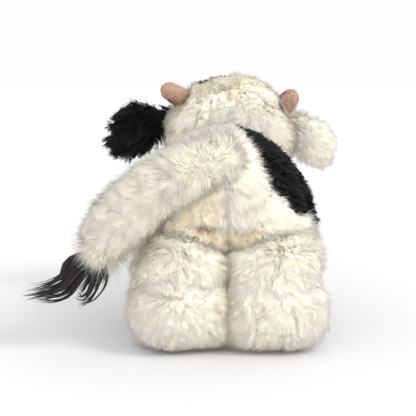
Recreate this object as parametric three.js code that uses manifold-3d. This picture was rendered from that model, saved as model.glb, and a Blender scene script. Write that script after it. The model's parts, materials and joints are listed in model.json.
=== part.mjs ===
// Plush cow, a stuffed toy that stands on four short legs with its head up. Millimetres, +Z up.
// The toy faces -Y, so its tail is at +Y and its left side is at +X. The origin is the middle of
// its outer box, on the floor. Every cover is long-pile fabric sewn into a bag and filled with
// fibre, and each soft solid here is one such bag with the pile lying on it.
// The head, the ears, the legs, the tail and its tassel bend at their seams. Each of those seams
// is a round seat about the line that it bends on, so the gap stays the same as the piece moves.
import * as THREE from "three";
import { mergeVertices } from "three/addons/utils/BufferGeometryUtils.js";
import Module from "manifold-3d";

const wasm = await Module();
wasm.setup();

const deg = THREE.MathUtils.degToRad(1);

// Clearances and panels
const gap = 0.4; // between two pieces sewn or fixed together
const seatGap = 0.9; // between two pieces that turn on each other
const panelDepth = 4; // how deep a sewn-in colour panel reaches
const weldDistance = 1e-4; // two points of a surface closer than this are one
const sweepStops = 5; // positions of a moving piece that a seat is cut for
const stepTurns = 12; // directions worked out in each step of a tube

// Torso: a pear-shaped bag, widest low down and narrower along the back
const torso = {
  length: 236,
  rearShare: 0.5, // of the length, behind the torso's middle
  width: 196,
  above: 97, // from the widest line up to the back
  below: 50, // from that line down to the belly
  middleZ: 130, // height of that line
  taperShare: 0.15, // how much narrower the back is
  sides: 22,
  stations: 12,
  // From the rump to the chest: share of the length, then of the width, above and below
  shares: [
    [0.0, 0.0, 0.0, 0.0],
    [0.015, 0.36, 0.38, 0.34],
    [0.05, 0.6, 0.62, 0.46],
    [0.11, 0.79, 0.8, 0.62],
    [0.2, 0.92, 0.93, 0.8],
    [0.32, 1.0, 1.0, 0.95],
    [0.45, 1.0, 0.99, 1.0],
    [0.58, 0.95, 0.92, 0.98],
    [0.7, 0.88, 0.8, 0.9],
    [0.81, 0.8, 0.68, 0.79],
    [0.9, 0.67, 0.54, 0.62],
    [0.96, 0.48, 0.37, 0.42],
    [0.99, 0.26, 0.19, 0.23],
    [1.0, 0.0, 0.0, 0.0],
  ],
};
// The black panel on the right flank, as an oval: shares of half the width, half the length and
// the height above the widest line
const flankPatchShares = { x: -0.95, y: 0.13, z: 0.52, radiusX: 0.9, radiusY: 0.7, radiusZ: 0.68 };
const patchSides = 14;
const patchRings = 6;

// Neck: the round end of the torso, on which the head nods
const neck = { inset: 47, rise: 18, loll: 4, radius: 56, sides: 20, rings: 8 }; // inset from the chest
const nodRange = [-10, 18]; // degrees, the chin going down with the larger one

// Head: a broad skull, placed from the neck's middle and tipped a little to the toy's right
const headTilt = -4 * deg;
const headTurn = 3 * deg;
const skull = {
  length: 132,
  width: 151,
  above: 68,
  below: 66,
  middleZ: 57, // above the neck's middle
  rearShare: 0.114, // of the length, behind the neck's middle
  taperShare: 0.03,
  sides: 20,
  stations: 11,
  // From the nape to the face: share of the length, then of the width, above and below
  shares: [
    [0.0, 0.0, 0.0, 0.0],
    [0.02, 0.34, 0.36, 0.36],
    [0.07, 0.58, 0.6, 0.6],
    [0.15, 0.78, 0.8, 0.79],
    [0.26, 0.93, 0.94, 0.93],
    [0.4, 1.0, 1.0, 1.0],
    [0.54, 0.98, 0.98, 1.0],
    [0.68, 0.89, 0.89, 0.95],
    [0.8, 0.76, 0.74, 0.84],
    [0.9, 0.57, 0.54, 0.64],
    [0.97, 0.33, 0.31, 0.38],
    [1.0, 0.0, 0.0, 0.0],
  ],
};
// The black panel from the crown to round the left eye, given as the flank's is
const facePatchShares = { x: 0.46, y: -0.62, z: 0.66, radiusX: 0.6, radiusY: 0.94, radiusZ: 0.82 };

// Muzzle: an oval bag of velour across the lower face, with two stitched nostril pads
const muzzle = { stand: 42, drop: 28, width: 100, length: 78, height: 68, sides: 16, rings: 8 };
const nostril = { width: 12, height: 16, depth: 14, x: 19, rise: 8, stand: 2.4, sides: 8, rings: 4 };

// Eyes: a domed plastic head on a stem, held inside the skull by a press-on washer
const eye = { radius: 8.5, rise: 6, rim: 1.6, stemRadius: 2.6, stemLength: 16, sides: 12 };
const eyePlace = { lengthShare: 0.89, turn: 33 * deg }; // on the skull, up from its widest line
const eyeSink = 2.5; // how far its rim lies under the pile
const eyeDomeSteps = 3;
const washer = { radius: 9, thickness: 2, depth: 9 }; // depth is from the rim to the washer

// Horns: short blunt stuffed thumbs of velour, each leaning its own way from the skull
const horn = { baseRadius: 14, tipRadius: 10.5, sides: 12, steps: 7, bendShare: 0.12 };
const leftHorn = { lengthShare: 0.38, turn: 33 * deg, lean: 27 * deg, sink: 16, length: 41 };
const rightHorn = { lengthShare: 0.38, turn: 146 * deg, lean: 128 * deg, sink: 14, length: 33 };

// Ears: flat stuffed leaves on a round root, each with a velour lining in front
const earRoot = { radius: 10, halfLength: 18, sides: 12, rings: 6, lengthShare: 0.62, turn: 6 * deg };
const leftEar = { droop: 15 * deg, length: 77, width: 68, thickness: 21, sag: 9 };
const rightEar = { droop: 21 * deg, length: 64, width: 58, thickness: 21, sag: 9 };
const earSides = 10;
const earSteps = 6;
// Share of the length, then of the width and the thickness
const earShares = [
  [0.0, 0.44, 0.86],
  [0.12, 0.58, 0.92],
  [0.3, 0.86, 1.0],
  [0.5, 1.0, 1.0],
  [0.7, 0.97, 0.94],
  [0.84, 0.82, 0.8],
  [0.93, 0.6, 0.58],
  [0.98, 0.34, 0.34],
  [1.0, 0.0, 0.0],
];
const earLiningShares = { centre: 0.56, length: 0.62, width: 0.6 }; // of the ear's own outline
const earRange = [-12, 30]; // degrees, the ear folding forward with the larger one

// Legs: a round haunch that turns in the torso, over a fat foot. A hip is inset from the torso's
// end and dropped from its widest line, and a foot is set back from its hip.
const hind = {
  x: 51.5,
  inset: 42,
  drop: 58,
  radius: 58,
  width: 92,
  footSetback: 12,
  footWidth: 100,
  footLength: 108,
  footHeight: 86,
};
const front = {
  x: 46,
  inset: 53,
  drop: 66,
  radius: 50,
  width: 80,
  footSetback: -14,
  footWidth: 87,
  footLength: 98,
  footHeight: 76,
};
const haunchSides = 20;
const haunchRings = 6;
const haunchSquareness = 2.5;
const footSides = 14;
const footRings = 7;
const footSquareness = 2.4;
const soleCut = 0.5; // the flat that the pile is pressed to on the floor
const legRange = [-15, 15]; // degrees, the foot going back with the larger one

// Tail: a thick stuffed tube on a round root, carried out to the toy's left
const tailRoot = { lengthShare: 0.12, turn: 78 * deg, sink: 12, radius: 24, sides: 14, rings: 6 };
const tail = { reach: 118, drop: 100, back: 37, radius: 27, sides: 11, steps: 8 }; // root to tip
// Points on its middle line, as shares of the reach, the back set and the drop
const tailPathShares = [
  [0.0, 0.0, 0.0],
  [0.24, 0.78, -0.08],
  [0.56, 1.0, -0.32],
  [0.8, 0.94, -0.6],
  [0.94, 0.82, -0.82],
  [1.0, 0.74, -1.0],
];
// Share of the length, then the radius as a share of the tail's
const tailShares = [
  [0.0, 0.7],
  [0.15, 0.88],
  [0.4, 1.0],
  [0.7, 0.98],
  [0.88, 0.8],
  [0.97, 0.5],
  [1.0, 0.0],
];
const tailRange = [-30, 5]; // degrees about Y, the tail rising with the smaller one

// Tassel: long black fibres bound into the tail's end, parted into two locks
const tasselRoot = { radius: 12, sink: 11, sides: 10, rings: 6 }; // sink is along the tail
const lock = { radius: 14, sides: 7, steps: 6 };
const sweptLock = { reach: 78, back: 6, drop: 42 };
const hangingLock = { reach: 26, back: 10, drop: 52 };
// Points on a lock's middle line, as shares of its reach, back set and drop
const sweptLockShares = [
  [0.0, 0.0, 0.0],
  [0.3, 0.8, -0.22],
  [0.62, 1.0, -0.66],
  [1.0, 0.6, -1.0],
];
const hangingLockShares = [
  [0.0, 0.0, 0.0],
  [0.55, 0.6, -0.3],
  [0.5, 1.0, -0.7],
  [1.0, 0.7, -1.0],
];
// Share of the length, then the radius as a share of the lock's
const lockShares = [
  [0.0, 0.8],
  [0.2, 1.0],
  [0.45, 0.82],
  [0.7, 0.5],
  [0.9, 0.24],
  [1.0, 0.0],
];
const tasselRange = [-20, 20]; // degrees about Y

// Colours, as the fabrics look in daylight
const cream = { color: 0xece3d3, roughness: 0.95, metalness: 0 };
const black = { color: 0x121215, roughness: 0.9, metalness: 0 };
const velour = { color: 0xba937b, roughness: 0.9, metalness: 0 };
const blush = { color: 0xd9b09c, roughness: 0.9, metalness: 0 };
const thread = { color: 0x5b4036, roughness: 0.85, metalness: 0 };
const blackFibre = { color: 0x2a2224, roughness: 0.6, metalness: 0 };
const eyePlastic = { color: 0x17100c, roughness: 0.12, metalness: 0 };
const clearPlastic = { color: 0xe6e4de, roughness: 0.5, metalness: 0 };

// The value in a column of a table, at a share along it, on a smooth curve that doesn't overshoot
function along(table, share, column) {
  const last = table.length - 1;
  let i = 0;
  while (i < last - 1 && table[i + 1][0] < share) i += 1;
  const [b, c] = [table[i], table[i + 1]];
  const rate = (k) => (table[k + 1][column] - table[k][column]) / (table[k + 1][0] - table[k][0]);
  const tangent = (k) => {
    if (k === 0) return rate(0);
    if (k === last) return rate(last - 1);
    const [p, q] = [rate(k - 1), rate(k)];
    return p * q <= 0 ? 0 : (2 * p * q) / (p + q);
  };
  const span = c[0] - b[0];
  const t = (share - b[0]) / span;
  const [m0, m1] = [tangent(i) * span, tangent(i + 1) * span];
  const rise = t * t * (3 - 2 * t);
  const [lift0, lift1] = [t * (1 - t) * (1 - t), t * t * (t - 1)];
  return b[column] * (1 - rise) + c[column] * rise + m0 * lift0 + m1 * lift1;
}

// Shares from 0 to 1, closer together at the two ends
const easedShares = (steps) =>
  Array.from({ length: steps + 1 }, (_, i) => (1 - Math.cos((Math.PI * i) / steps)) / 2);

// A closed surface over rings of points, the first and the last of which are single points
function overRings(rings) {
  const points = rings.flat().flatMap((p) => [p.x, p.y, p.z]);
  const faces = [];
  let start = 0;
  for (let r = 0; r + 1 < rings.length; r += 1) {
    const [low, high] = [rings[r].length, rings[r + 1].length];
    const sides = Math.max(low, high);
    for (let k = 0; k < sides; k += 1) {
      const next = (k + 1) % sides;
      const [a, b] = [start + (k % low), start + (next % low)];
      const [c, d] = [start + low + (next % high), start + low + (k % high)];
      if (a !== b) faces.push(a, b, c);
      if (c !== d) faces.push(a, c, d);
    }
    start += low;
  }
  const geometry = new THREE.BufferGeometry();
  geometry.setAttribute("position", new THREE.Float32BufferAttribute(points, 3));
  geometry.setIndex(faces);
  return geometry;
}

// A manifold-3d solid from closed geometry, with its faces turned outward
function solid(geometry) {
  const bare = geometry.clone();
  bare.deleteAttribute("normal");
  bare.deleteAttribute("uv");
  const merged = mergeVertices(bare, weldDistance);
  const points = merged.attributes.position;
  const faces = Uint32Array.from(merged.index.array);
  const [a, b, c] = [new THREE.Vector3(), new THREE.Vector3(), new THREE.Vector3()];
  let volume = 0;
  for (let i = 0; i < faces.length; i += 3) {
    a.fromBufferAttribute(points, faces[i]);
    b.fromBufferAttribute(points, faces[i + 1]);
    c.fromBufferAttribute(points, faces[i + 2]);
    volume += a.dot(b.cross(c));
  }
  if (volume < 0) faces.reverse();
  const vertProperties = Float32Array.from(points.array);
  return new wasm.Manifold(new wasm.Mesh({ numProp: 3, vertProperties, triVerts: faces }));
}

function geometryOf(body) {
  const mesh = body.getMesh();
  const geometry = new THREE.BufferGeometry();
  geometry.setAttribute("position", new THREE.BufferAttribute(mesh.vertProperties, mesh.numProp));
  geometry.setIndex(new THREE.BufferAttribute(mesh.triVerts, 1));
  return geometry;
}

function piece(name, body, finish) {
  const geometry = geometryOf(body);
  geometry.computeVertexNormals();
  const mesh = new THREE.Mesh(geometry, new THREE.MeshStandardMaterial(finish));
  mesh.name = name;
  return mesh;
}

const move = (x, y, z) => new THREE.Matrix4().makeTranslation(x, y, z);
const turnX = (angle) => new THREE.Matrix4().makeRotationX(angle);
const turnY = (angle) => new THREE.Matrix4().makeRotationY(angle);
const turnZ = (angle) => new THREE.Matrix4().makeRotationZ(angle);
const chain = (...steps) => steps.reduce((all, step) => all.multiply(step), new THREE.Matrix4());
const moved = (body, matrix) => solid(geometryOf(body).applyMatrix4(matrix));
const joined = (...bodies) => bodies.reduce((all, body) => all.add(body));
const cutBy = (body, ...cutters) => cutters.reduce((left, cutter) => left.subtract(cutter), body);

// A rounded body with its poles on Z: an oval at squareness 2, and boxier above that. The first
// squareness shapes its side, and the second its plan.
function rounded(width, length, height, sides, rings, squareness = 2, planSquareness = squareness) {
  const soft = (v, power) => Math.sign(v) * Math.abs(v) ** (2 / power);
  const made = [];
  for (let r = 0; r <= rings; r += 1) {
    const slope = (Math.PI * r) / rings - Math.PI / 2;
    const level = (height / 2) * soft(Math.sin(slope), squareness);
    const isPole = r === 0 || r === rings;
    const reach = isPole ? 0 : soft(Math.cos(slope), squareness);
    made.push(
      Array.from({ length: isPole ? 1 : sides }, (_, k) => {
        const turn = (2 * Math.PI * k) / sides;
        const x = (width / 2) * reach * soft(Math.cos(turn), planSquareness);
        return new THREE.Vector3(x, (length / 2) * reach * soft(Math.sin(turn), planSquareness), level);
      }),
    );
  }
  return overRings(made);
}

const rearOf = (form) => form.rearShare * form.length;

// A point of a lofted form: share runs from its rear to its front, turn goes round it
function loftPoint(form, share, turn, grow = 0) {
  const rise = Math.sin(turn);
  const wide = (along(form.shares, share, 1) * form.width) / 2 + grow;
  const tall =
    rise > 0 ? along(form.shares, share, 2) * form.above : along(form.shares, share, 3) * form.below;
  const x = wide * Math.cos(turn) * (1 - form.taperShare * rise);
  const y = rearOf(form) + grow - share * (form.length + 2 * grow);
  return new THREE.Vector3(x, y, form.middleZ + rise * (tall + grow));
}

function loft(form, grow = 0) {
  const rings = easedShares(form.stations).map((share, i, all) => {
    if (i > 0 && i < all.length - 1) {
      const turns = Array.from({ length: form.sides }, (_, k) => (2 * Math.PI * k) / form.sides);
      return turns.map((turn) => loftPoint(form, share, turn, grow));
    }
    const y = rearOf(form) + grow - share * (form.length + 2 * grow);
    return [new THREE.Vector3(0, y, form.middleZ)];
  });
  return overRings(rings);
}

// The oval that a colour panel is cut with, from shares of a lofted form's own size
function ovalOn(form, shares, grow) {
  const half = [form.width / 2, form.length / 2, form.above];
  const size = [shares.radiusX, shares.radiusY, shares.radiusZ].map((share, i) => 2 * (share * half[i] + grow));
  const middle = new THREE.Vector3(shares.x * half[0], shares.y * half[1], shares.z * half[2]);
  middle.y += rearOf(form) - half[1];
  middle.z += form.middleZ;
  const oval = rounded(...size, patchSides, patchRings);
  return solid(oval.applyMatrix4(move(...middle)));
}

// A colour panel sewn into a form: its own solid, and what it takes out of the form
function panelOn(form, shares) {
  const inner = solid(loft(form, -panelDepth));
  const innermost = solid(loft(form, -panelDepth - gap));
  const panel = cutBy(solid(loft(form)).intersect(ovalOn(form, shares, 0)), inner);
  return { panel, recess: cutBy(ovalOn(form, shares, gap), innermost) };
}

// A tube along a curve, its radius given at each share of the length, its last end closed to a point
function taperedTube(curve, steps, sides, radiusAt) {
  const frameSteps = stepTurns * steps;
  const frames = curve.computeFrenetFrames(frameSteps, false);
  const rings = easedShares(steps).map((share) => {
    const centre = curve.getPointAt(share);
    const radius = radiusAt(share);
    if (radius <= 0) return [centre];
    const nearest = Math.round(share * frameSteps);
    return Array.from({ length: sides }, (_, k) => {
      const turn = (2 * Math.PI * k) / sides;
      return centre
        .clone()
        .addScaledVector(frames.normals[nearest], radius * Math.cos(turn))
        .addScaledVector(frames.binormals[nearest], radius * Math.sin(turn));
    });
  });
  return overRings([[curve.getPointAt(0)], ...rings]);
}

// A curve through points given as shares of a reach, a back set and a drop
const curveOf = (shares, { reach, back, drop }) =>
  new THREE.CatmullRomCurve3(shares.map(([x, y, z]) => new THREE.Vector3(x * reach, y * back, z * drop)));

// What a neighbour sweeps, seen from a piece that turns through a range of degrees about a point
function swept(body, centre, turn, range) {
  const there = move(...centre);
  const back = there.clone().invert();
  const stops = Array.from({ length: sweepStops }, (_, i) =>
    THREE.MathUtils.lerp(range[0], range[1], i / (sweepStops - 1)),
  );
  return joined(...stops.map((stop) => moved(body, chain(there, turn(-stop * deg), back))));
}

// A ball whose facets lie round a line along X or Y, so it turns smoothly on that line
function ball({ radius, sides, rings }, standing, grow = 0) {
  const across = 2 * (radius + grow);
  return solid(rounded(across, across, across, sides, rings).applyMatrix4(standing));
}
const roundX = turnY(Math.PI / 2);
const roundY = turnX(Math.PI / 2);

// Torso, centred on the middle of its length, and the neck's middle on it
const chestY = rearOf(torso) - torso.length;
const neckPoint = new THREE.Vector3(-neck.loll, chestY + neck.inset, torso.middleZ + neck.rise);
const torsoWhole = solid(loft(torso));
const torsoGrown = solid(loft(torso, seatGap));

// Legs. The haunch is round about its hip line, and the foot is whole.
const hipY = (leg) => (leg === hind ? rearOf(torso) - leg.inset : chestY + leg.inset);
const hipPoint = (leg, side) => new THREE.Vector3(side * leg.x, hipY(leg), torso.middleZ - leg.drop);

function haunchForm(leg, side, grow = 0) {
  const across = 2 * (leg.radius + grow);
  const width = leg.width + 2 * grow;
  const disc = rounded(across, across, width, haunchSides, haunchRings, haunchSquareness, 2);
  return solid(disc.applyMatrix4(chain(move(...hipPoint(leg, side)), roundX)));
}

function footForm(leg, side, grow = 0) {
  const [width, length] = [leg.footWidth + 2 * grow, leg.footLength + 2 * grow];
  const height = leg.footHeight + soleCut + 2 * grow;
  const block = rounded(width, length, height, footSides, footRings, footSquareness);
  const middleZ = (leg.footHeight - soleCut) / 2;
  return solid(block.applyMatrix4(move(side * leg.x, hipY(leg) + leg.footSetback, middleZ)));
}

// All the space below the floor that the toy could reach
const underFloor = solid(
  new THREE.BoxGeometry(torso.length, torso.length, torso.length).applyMatrix4(move(0, 0, -torso.length / 2)),
);

function makeLeg(leg, side, name) {
  const sole = moved(underFloor, move(side * leg.x, hipY(leg), 0));
  const foot = cutBy(footForm(leg, side), sole);
  const haunch = cutBy(haunchForm(leg, side), footForm(leg, side, gap));
  return {
    pieces: [piece(`${name}_foot`, foot, cream), piece(`${name}_haunch`, haunch, cream)],
    seat: haunchForm(leg, side, seatGap),
    footSwing: swept(footForm(leg, side, seatGap), hipPoint(leg, side), turnX, legRange),
  };
}

const legs = [
  makeLeg(hind, 1, "left_hind"),
  makeLeg(hind, -1, "right_hind"),
  makeLeg(front, 1, "left_front"),
  makeLeg(front, -1, "right_front"),
];

// Torso with its neck, its hip seats and its tail seat
const tailPoint = loftPoint(torso, tailRoot.lengthShare, tailRoot.turn);
tailPoint.z -= tailRoot.sink;
const atTail = move(...tailPoint);
const atNeck = move(...neckPoint);
const flank = panelOn(torso, flankPatchShares);
const legSeats = legs.flatMap((leg) => [leg.seat, leg.footSwing]);
const tailSeat = moved(ball(tailRoot, roundY, seatGap), atTail);
const neckBall = moved(ball(neck, roundX), atNeck);
const neckSeat = moved(ball(neck, roundX, seatGap), atNeck);
const torsoBody = cutBy(joined(torsoWhole, neckBall), flank.recess, ...legSeats, tailSeat);
const flankBody = cutBy(flank.panel, neckSeat, ...legSeats, tailSeat);

// Head. Its pieces are made about the neck's middle and turned with the head's group.
const headGroup = new THREE.Group();
headGroup.position.copy(neckPoint);
headGroup.rotation.set(0, headTilt, headTurn);
headGroup.updateMatrix();
const toHead = headGroup.matrix.clone().invert();
const torsoSwept = moved(swept(torsoGrown, neckPoint, turnX, nodRange), toHead);

// Muzzle, standing out of the skull's front
const muzzleZ = skull.middleZ - muzzle.drop;
const muzzleY = rearOf(skull) - skull.length - muzzle.stand + muzzle.length / 2;

function muzzleForm(grow) {
  const [width, length, height] = [muzzle.width, muzzle.length, muzzle.height].map((size) => size + 2 * grow);
  const oval = rounded(width, length, height, muzzle.sides, muzzle.rings);
  return solid(oval.applyMatrix4(move(0, muzzleY, muzzleZ)));
}

function nostrilBody(side) {
  const [acrossShare, upShare] = [nostril.x / (muzzle.width / 2), nostril.rise / (muzzle.height / 2)];
  const faceY = muzzleY - (muzzle.length / 2) * Math.sqrt(1 - acrossShare ** 2 - upShare ** 2);
  const pad = rounded(nostril.width, nostril.depth, nostril.height, nostril.sides, nostril.rings);
  pad.applyMatrix4(move(side * nostril.x, faceY + nostril.depth / 2 - nostril.stand, muzzleZ + nostril.rise));
  return cutBy(solid(pad), muzzleForm(gap));
}

// The matrix that stands Z on the skull at an eye, sunk into the pile
function onSkull(side) {
  const { lengthShare, turn } = eyePlace;
  const around = side > 0 ? turn : Math.PI - turn;
  const smallStep = 0.01;
  const point = loftPoint(skull, lengthShare, around);
  const forward = loftPoint(skull, lengthShare + smallStep, around).sub(point);
  const upward = loftPoint(skull, lengthShare, around + smallStep).sub(point);
  const outward = upward.cross(forward).normalize();
  if (outward.y > 0) outward.negate();
  const stand = new THREE.Quaternion().setFromUnitVectors(new THREE.Vector3(0, 0, 1), outward);
  point.addScaledVector(outward, -eyeSink);
  return new THREE.Matrix4().compose(point, stand, new THREE.Vector3(1, 1, 1));
}

// A body turned about Z, from an outline of [radius, height] points
function turned(outline) {
  const points = outline.map(([radius, height]) => new THREE.Vector2(radius, height));
  return solid(new THREE.LatheGeometry(points, eye.sides).applyMatrix4(roundY));
}

function eyeBody() {
  const { radius, rise, rim, stemRadius, stemLength } = eye;
  const shares = Array.from({ length: eyeDomeSteps - 1 }, (_, i) => 1 - (i + 1) / eyeDomeSteps);
  const slopes = shares.map((share) => (Math.PI / 2) * share);
  const dome = slopes.map((slope) => [radius * Math.cos(slope), rise * Math.sin(slope)]);
  const stem = [[stemRadius, -rim], [stemRadius, -stemLength], [0, -stemLength]];
  return turned([[0, rise], ...dome, [radius, 0], [radius, -rim], ...stem]);
}

const rod = (radius, low, high) => turned([[0, low], [radius, low], [radius, high], [0, high]]);

function washerBody() {
  const [low, high] = [-washer.depth - washer.thickness, -washer.depth];
  const bore = eye.stemRadius + gap;
  return turned([[bore, low], [washer.radius, low], [washer.radius, high], [bore, high], [bore, low]]);
}

const eyeSeat = joined(
  rod(eye.radius + gap, -eye.rim - gap, eye.rise + eyeSink),
  rod(eye.stemRadius + gap, -eye.stemLength - gap, 0),
  rod(washer.radius + gap, -washer.depth - washer.thickness - gap, -washer.depth + gap),
);

// Horns: a bent tube from inside the skull, later cut off just above it
function hornForm({ lengthShare, turn, lean, sink, length }) {
  const direction = new THREE.Vector3(Math.cos(lean), 0, Math.sin(lean));
  const foot = loftPoint(skull, lengthShare, turn).addScaledVector(direction, -sink);
  const bend = new THREE.Vector3(0, horn.bendShare * length, 0);
  const middle = foot.clone().addScaledVector(direction, length / 2).add(bend);
  const tip = foot.clone().addScaledVector(direction, length);
  const bluntShare = 1 - horn.tipRadius / length;
  const radiusAt = (share) => {
    const cone = THREE.MathUtils.lerp(horn.baseRadius, horn.tipRadius, share);
    const past = Math.max(share - bluntShare, 0) / (1 - bluntShare);
    return cone * Math.sqrt(Math.max(1 - past ** 2, 0));
  };
  return solid(taperedTube(new THREE.CatmullRomCurve3([foot, middle, tip]), horn.steps, horn.sides, radiusAt));
}

// Ears, about their root's middle. X runs out of the head, and the lining is on the -Y face of
// the left one and on the +Y face of the right one, which is turned round.
function earLeaf({ length, width, thickness, sag }) {
  const rings = easedShares(earSteps).map((share, i, all) => {
    const centre = new THREE.Vector3(share * length, 0, -sag * share ** 2);
    if (i === all.length - 1 || i === 0) return [centre];
    const wide = (along(earShares, share, 1) * width) / 2;
    const thick = (along(earShares, share, 2) * thickness) / 2;
    return Array.from({ length: earSides }, (_, k) => {
      const turn = (2 * Math.PI * k) / earSides;
      return centre.clone().add(new THREE.Vector3(0, thick * Math.sin(turn), wide * Math.cos(turn)));
    });
  });
  return solid(overRings(rings));
}

function earRootForm(grow = 0) {
  const across = 2 * (earRoot.radius + grow);
  return solid(rounded(across, across, 2 * (earRoot.halfLength + grow), earRoot.sides, earRoot.rings));
}

function makeEar(ear, side, name, finish) {
  const around = side > 0 ? earRoot.turn : Math.PI - earRoot.turn;
  const facing = side > 0 ? -1 : 1;
  const place = chain(
    move(...loftPoint(skull, earRoot.lengthShare, around)),
    turnZ(side > 0 ? 0 : Math.PI),
    turnY(ear.droop),
  );
  const leaf = joined(earLeaf(ear), earRootForm());
  const { centre, length, width } = earLiningShares;
  const outline = (grow) =>
    solid(
      rounded(length * ear.length + 2 * grow, ear.thickness, width * ear.width + 2 * grow, earSides, earSteps)
        .applyMatrix4(move(centre * ear.length, (facing * ear.thickness) / 2, -ear.sag * centre ** 2)),
    );
  const panel = cutBy(leaf.intersect(outline(0)), moved(leaf, move(0, -facing * panelDepth, 0)));
  const recess = cutBy(outline(gap), moved(leaf, move(0, -facing * (panelDepth + gap), 0)));
  const range = side > 0 ? [-earRange[1], -earRange[0]] : earRange;
  const skullNear = moved(solid(loft(skull, seatGap)), place.clone().invert());
  const skullSwept = swept(skullNear, new THREE.Vector3(), turnZ, range);
  const cover = cutBy(joined(cutBy(leaf, skullSwept), earRootForm()), recess);
  return {
    pieces: [
      piece(`${name}_ear`, moved(cover, place), finish),
      piece(`${name}_ear_lining`, moved(cutBy(panel, skullSwept), place), blush),
    ],
    seat: moved(earRootForm(seatGap), place),
  };
}

const ears = [makeEar(leftEar, 1, "left", black), makeEar(rightEar, -1, "right", cream)];
const face = panelOn(skull, facePatchShares);
const faceCuts = [
  muzzleForm(gap),
  ...ears.map((ear) => ear.seat),
  ...[1, -1].map((side) => moved(eyeSeat, onSkull(side))),
];
const neckInHead = moved(neckSeat, toHead);
const skullWhole = solid(loft(skull));
const headBody = cutBy(skullWhole, neckInHead, torsoSwept, face.recess, ...faceCuts);
headGroup.add(
  piece("head", headBody, cream),
  piece("face_patch", cutBy(face.panel, ...faceCuts), black),
  piece("muzzle", muzzleForm(0), velour),
  ...ears.flatMap((ear) => ear.pieces),
);
for (const [side, name] of [[1, "left"], [-1, "right"]]) {
  headGroup.add(
    piece(`${name}_nostril`, nostrilBody(side), thread),
    piece(`${name}_eye`, moved(eyeBody(), onSkull(side)), eyePlastic),
    piece(`${name}_eye_washer`, moved(washerBody(), onSkull(side)), clearPlastic),
  );
}
const skullGrown = solid(loft(skull, gap));
headGroup.add(
  piece("left_horn", cutBy(hornForm(leftHorn), skullGrown), velour),
  piece("right_horn", cutBy(hornForm(rightHorn), skullGrown), velour),
);

// Tail and tassel, in the toy's frame
const tailCurve = curveOf(tailPathShares, tail);
const tailTube = solid(
  taperedTube(tailCurve, tail.steps, tail.sides, (share) => tail.radius * along(tailShares, share, 1))
    .applyMatrix4(atTail),
);
const tasselPoint = tailCurve.getPointAt(1).applyMatrix4(atTail);
tasselPoint.addScaledVector(tailCurve.getTangentAt(1), -tasselRoot.sink);
const atTassel = move(...tasselPoint);

function lockForm(shares, size, grow = 0) {
  const radiusAt = (share) => (lock.radius + grow) * along(lockShares, share, 1);
  return solid(taperedTube(curveOf(shares, size), lock.steps, lock.sides, radiusAt).applyMatrix4(atTassel));
}

const locksGrown = (grow) =>
  joined(lockForm(sweptLockShares, sweptLock, grow), lockForm(hangingLockShares, hangingLock, grow));
const tasselBody = joined(moved(ball(tasselRoot, roundY), atTassel), locksGrown(0));
const tasselSeat = moved(ball(tasselRoot, roundY, seatGap), atTassel);
const lockSwing = swept(locksGrown(seatGap), tasselPoint, turnY, tasselRange.map((stop) => -stop));
const bodySwept = swept(torsoGrown, tailPoint, turnY, tailRange);
const tailBall = moved(ball(tailRoot, roundY), atTail);
const tailBody = cutBy(joined(cutBy(tailTube, bodySwept), tailBall), tasselSeat, lockSwing);

const cow = new THREE.Group();
cow.add(
  piece("torso", torsoBody, cream),
  piece("flank_patch", flankBody, black),
  headGroup,
  ...legs.flatMap((leg) => leg.pieces),
  piece("tail", tailBody, cream),
  piece("tassel", tasselBody, blackFibre),
);

// The origin goes to the middle of the outer box, on the floor
cow.updateMatrixWorld(true);
const box = new THREE.Box3().setFromObject(cow, true);
const middle = box.getCenter(new THREE.Vector3());
cow.position.set(-middle.x, -middle.y, -box.min.z);

export default cow;
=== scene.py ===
import json
import math
from types import SimpleNamespace

import bmesh
import bpy
import numpy as np
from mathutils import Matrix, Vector
from mathutils.bvhtree import BVHTree
from mathutils.kdtree import KDTree

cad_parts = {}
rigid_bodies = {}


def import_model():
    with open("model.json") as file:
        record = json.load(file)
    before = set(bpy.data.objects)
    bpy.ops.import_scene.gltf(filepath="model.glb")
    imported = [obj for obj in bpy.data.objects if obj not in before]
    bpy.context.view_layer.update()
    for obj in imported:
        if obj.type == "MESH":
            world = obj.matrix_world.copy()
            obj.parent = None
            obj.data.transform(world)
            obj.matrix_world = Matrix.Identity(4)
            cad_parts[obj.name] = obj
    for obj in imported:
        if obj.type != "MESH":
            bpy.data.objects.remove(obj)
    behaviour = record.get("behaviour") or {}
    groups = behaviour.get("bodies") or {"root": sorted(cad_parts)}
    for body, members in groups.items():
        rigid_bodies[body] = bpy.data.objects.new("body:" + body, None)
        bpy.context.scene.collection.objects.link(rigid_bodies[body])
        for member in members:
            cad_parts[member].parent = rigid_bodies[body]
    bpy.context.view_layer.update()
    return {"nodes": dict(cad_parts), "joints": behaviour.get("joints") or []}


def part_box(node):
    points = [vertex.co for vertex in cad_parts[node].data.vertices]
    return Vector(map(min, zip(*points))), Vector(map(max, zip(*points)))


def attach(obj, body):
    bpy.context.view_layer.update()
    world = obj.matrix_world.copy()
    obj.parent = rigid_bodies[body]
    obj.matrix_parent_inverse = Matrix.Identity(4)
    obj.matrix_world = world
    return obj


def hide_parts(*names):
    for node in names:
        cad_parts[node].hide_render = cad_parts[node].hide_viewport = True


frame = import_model()

# Camera
# It stands behind the toy and a little above it, so the rump, the tail and the nape face it.
camera_distance = 1.4
camera_rise = math.radians(9)
camera_aim = Vector((-0.0164, 0.065, 0.136))


def placed(name, data, way=None, distance=1):
    """A new object of the scene. A camera or a lamp looks at camera_aim, from a distance along way."""
    made = bpy.data.objects.new(name, data)
    bpy.context.collection.objects.link(made)
    if way is not None:
        made.location = camera_aim + way * distance
        made.rotation_mode = "QUATERNION"
        made.rotation_quaternion = (-way).to_track_quat("-Z", "Y")
    return made


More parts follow.
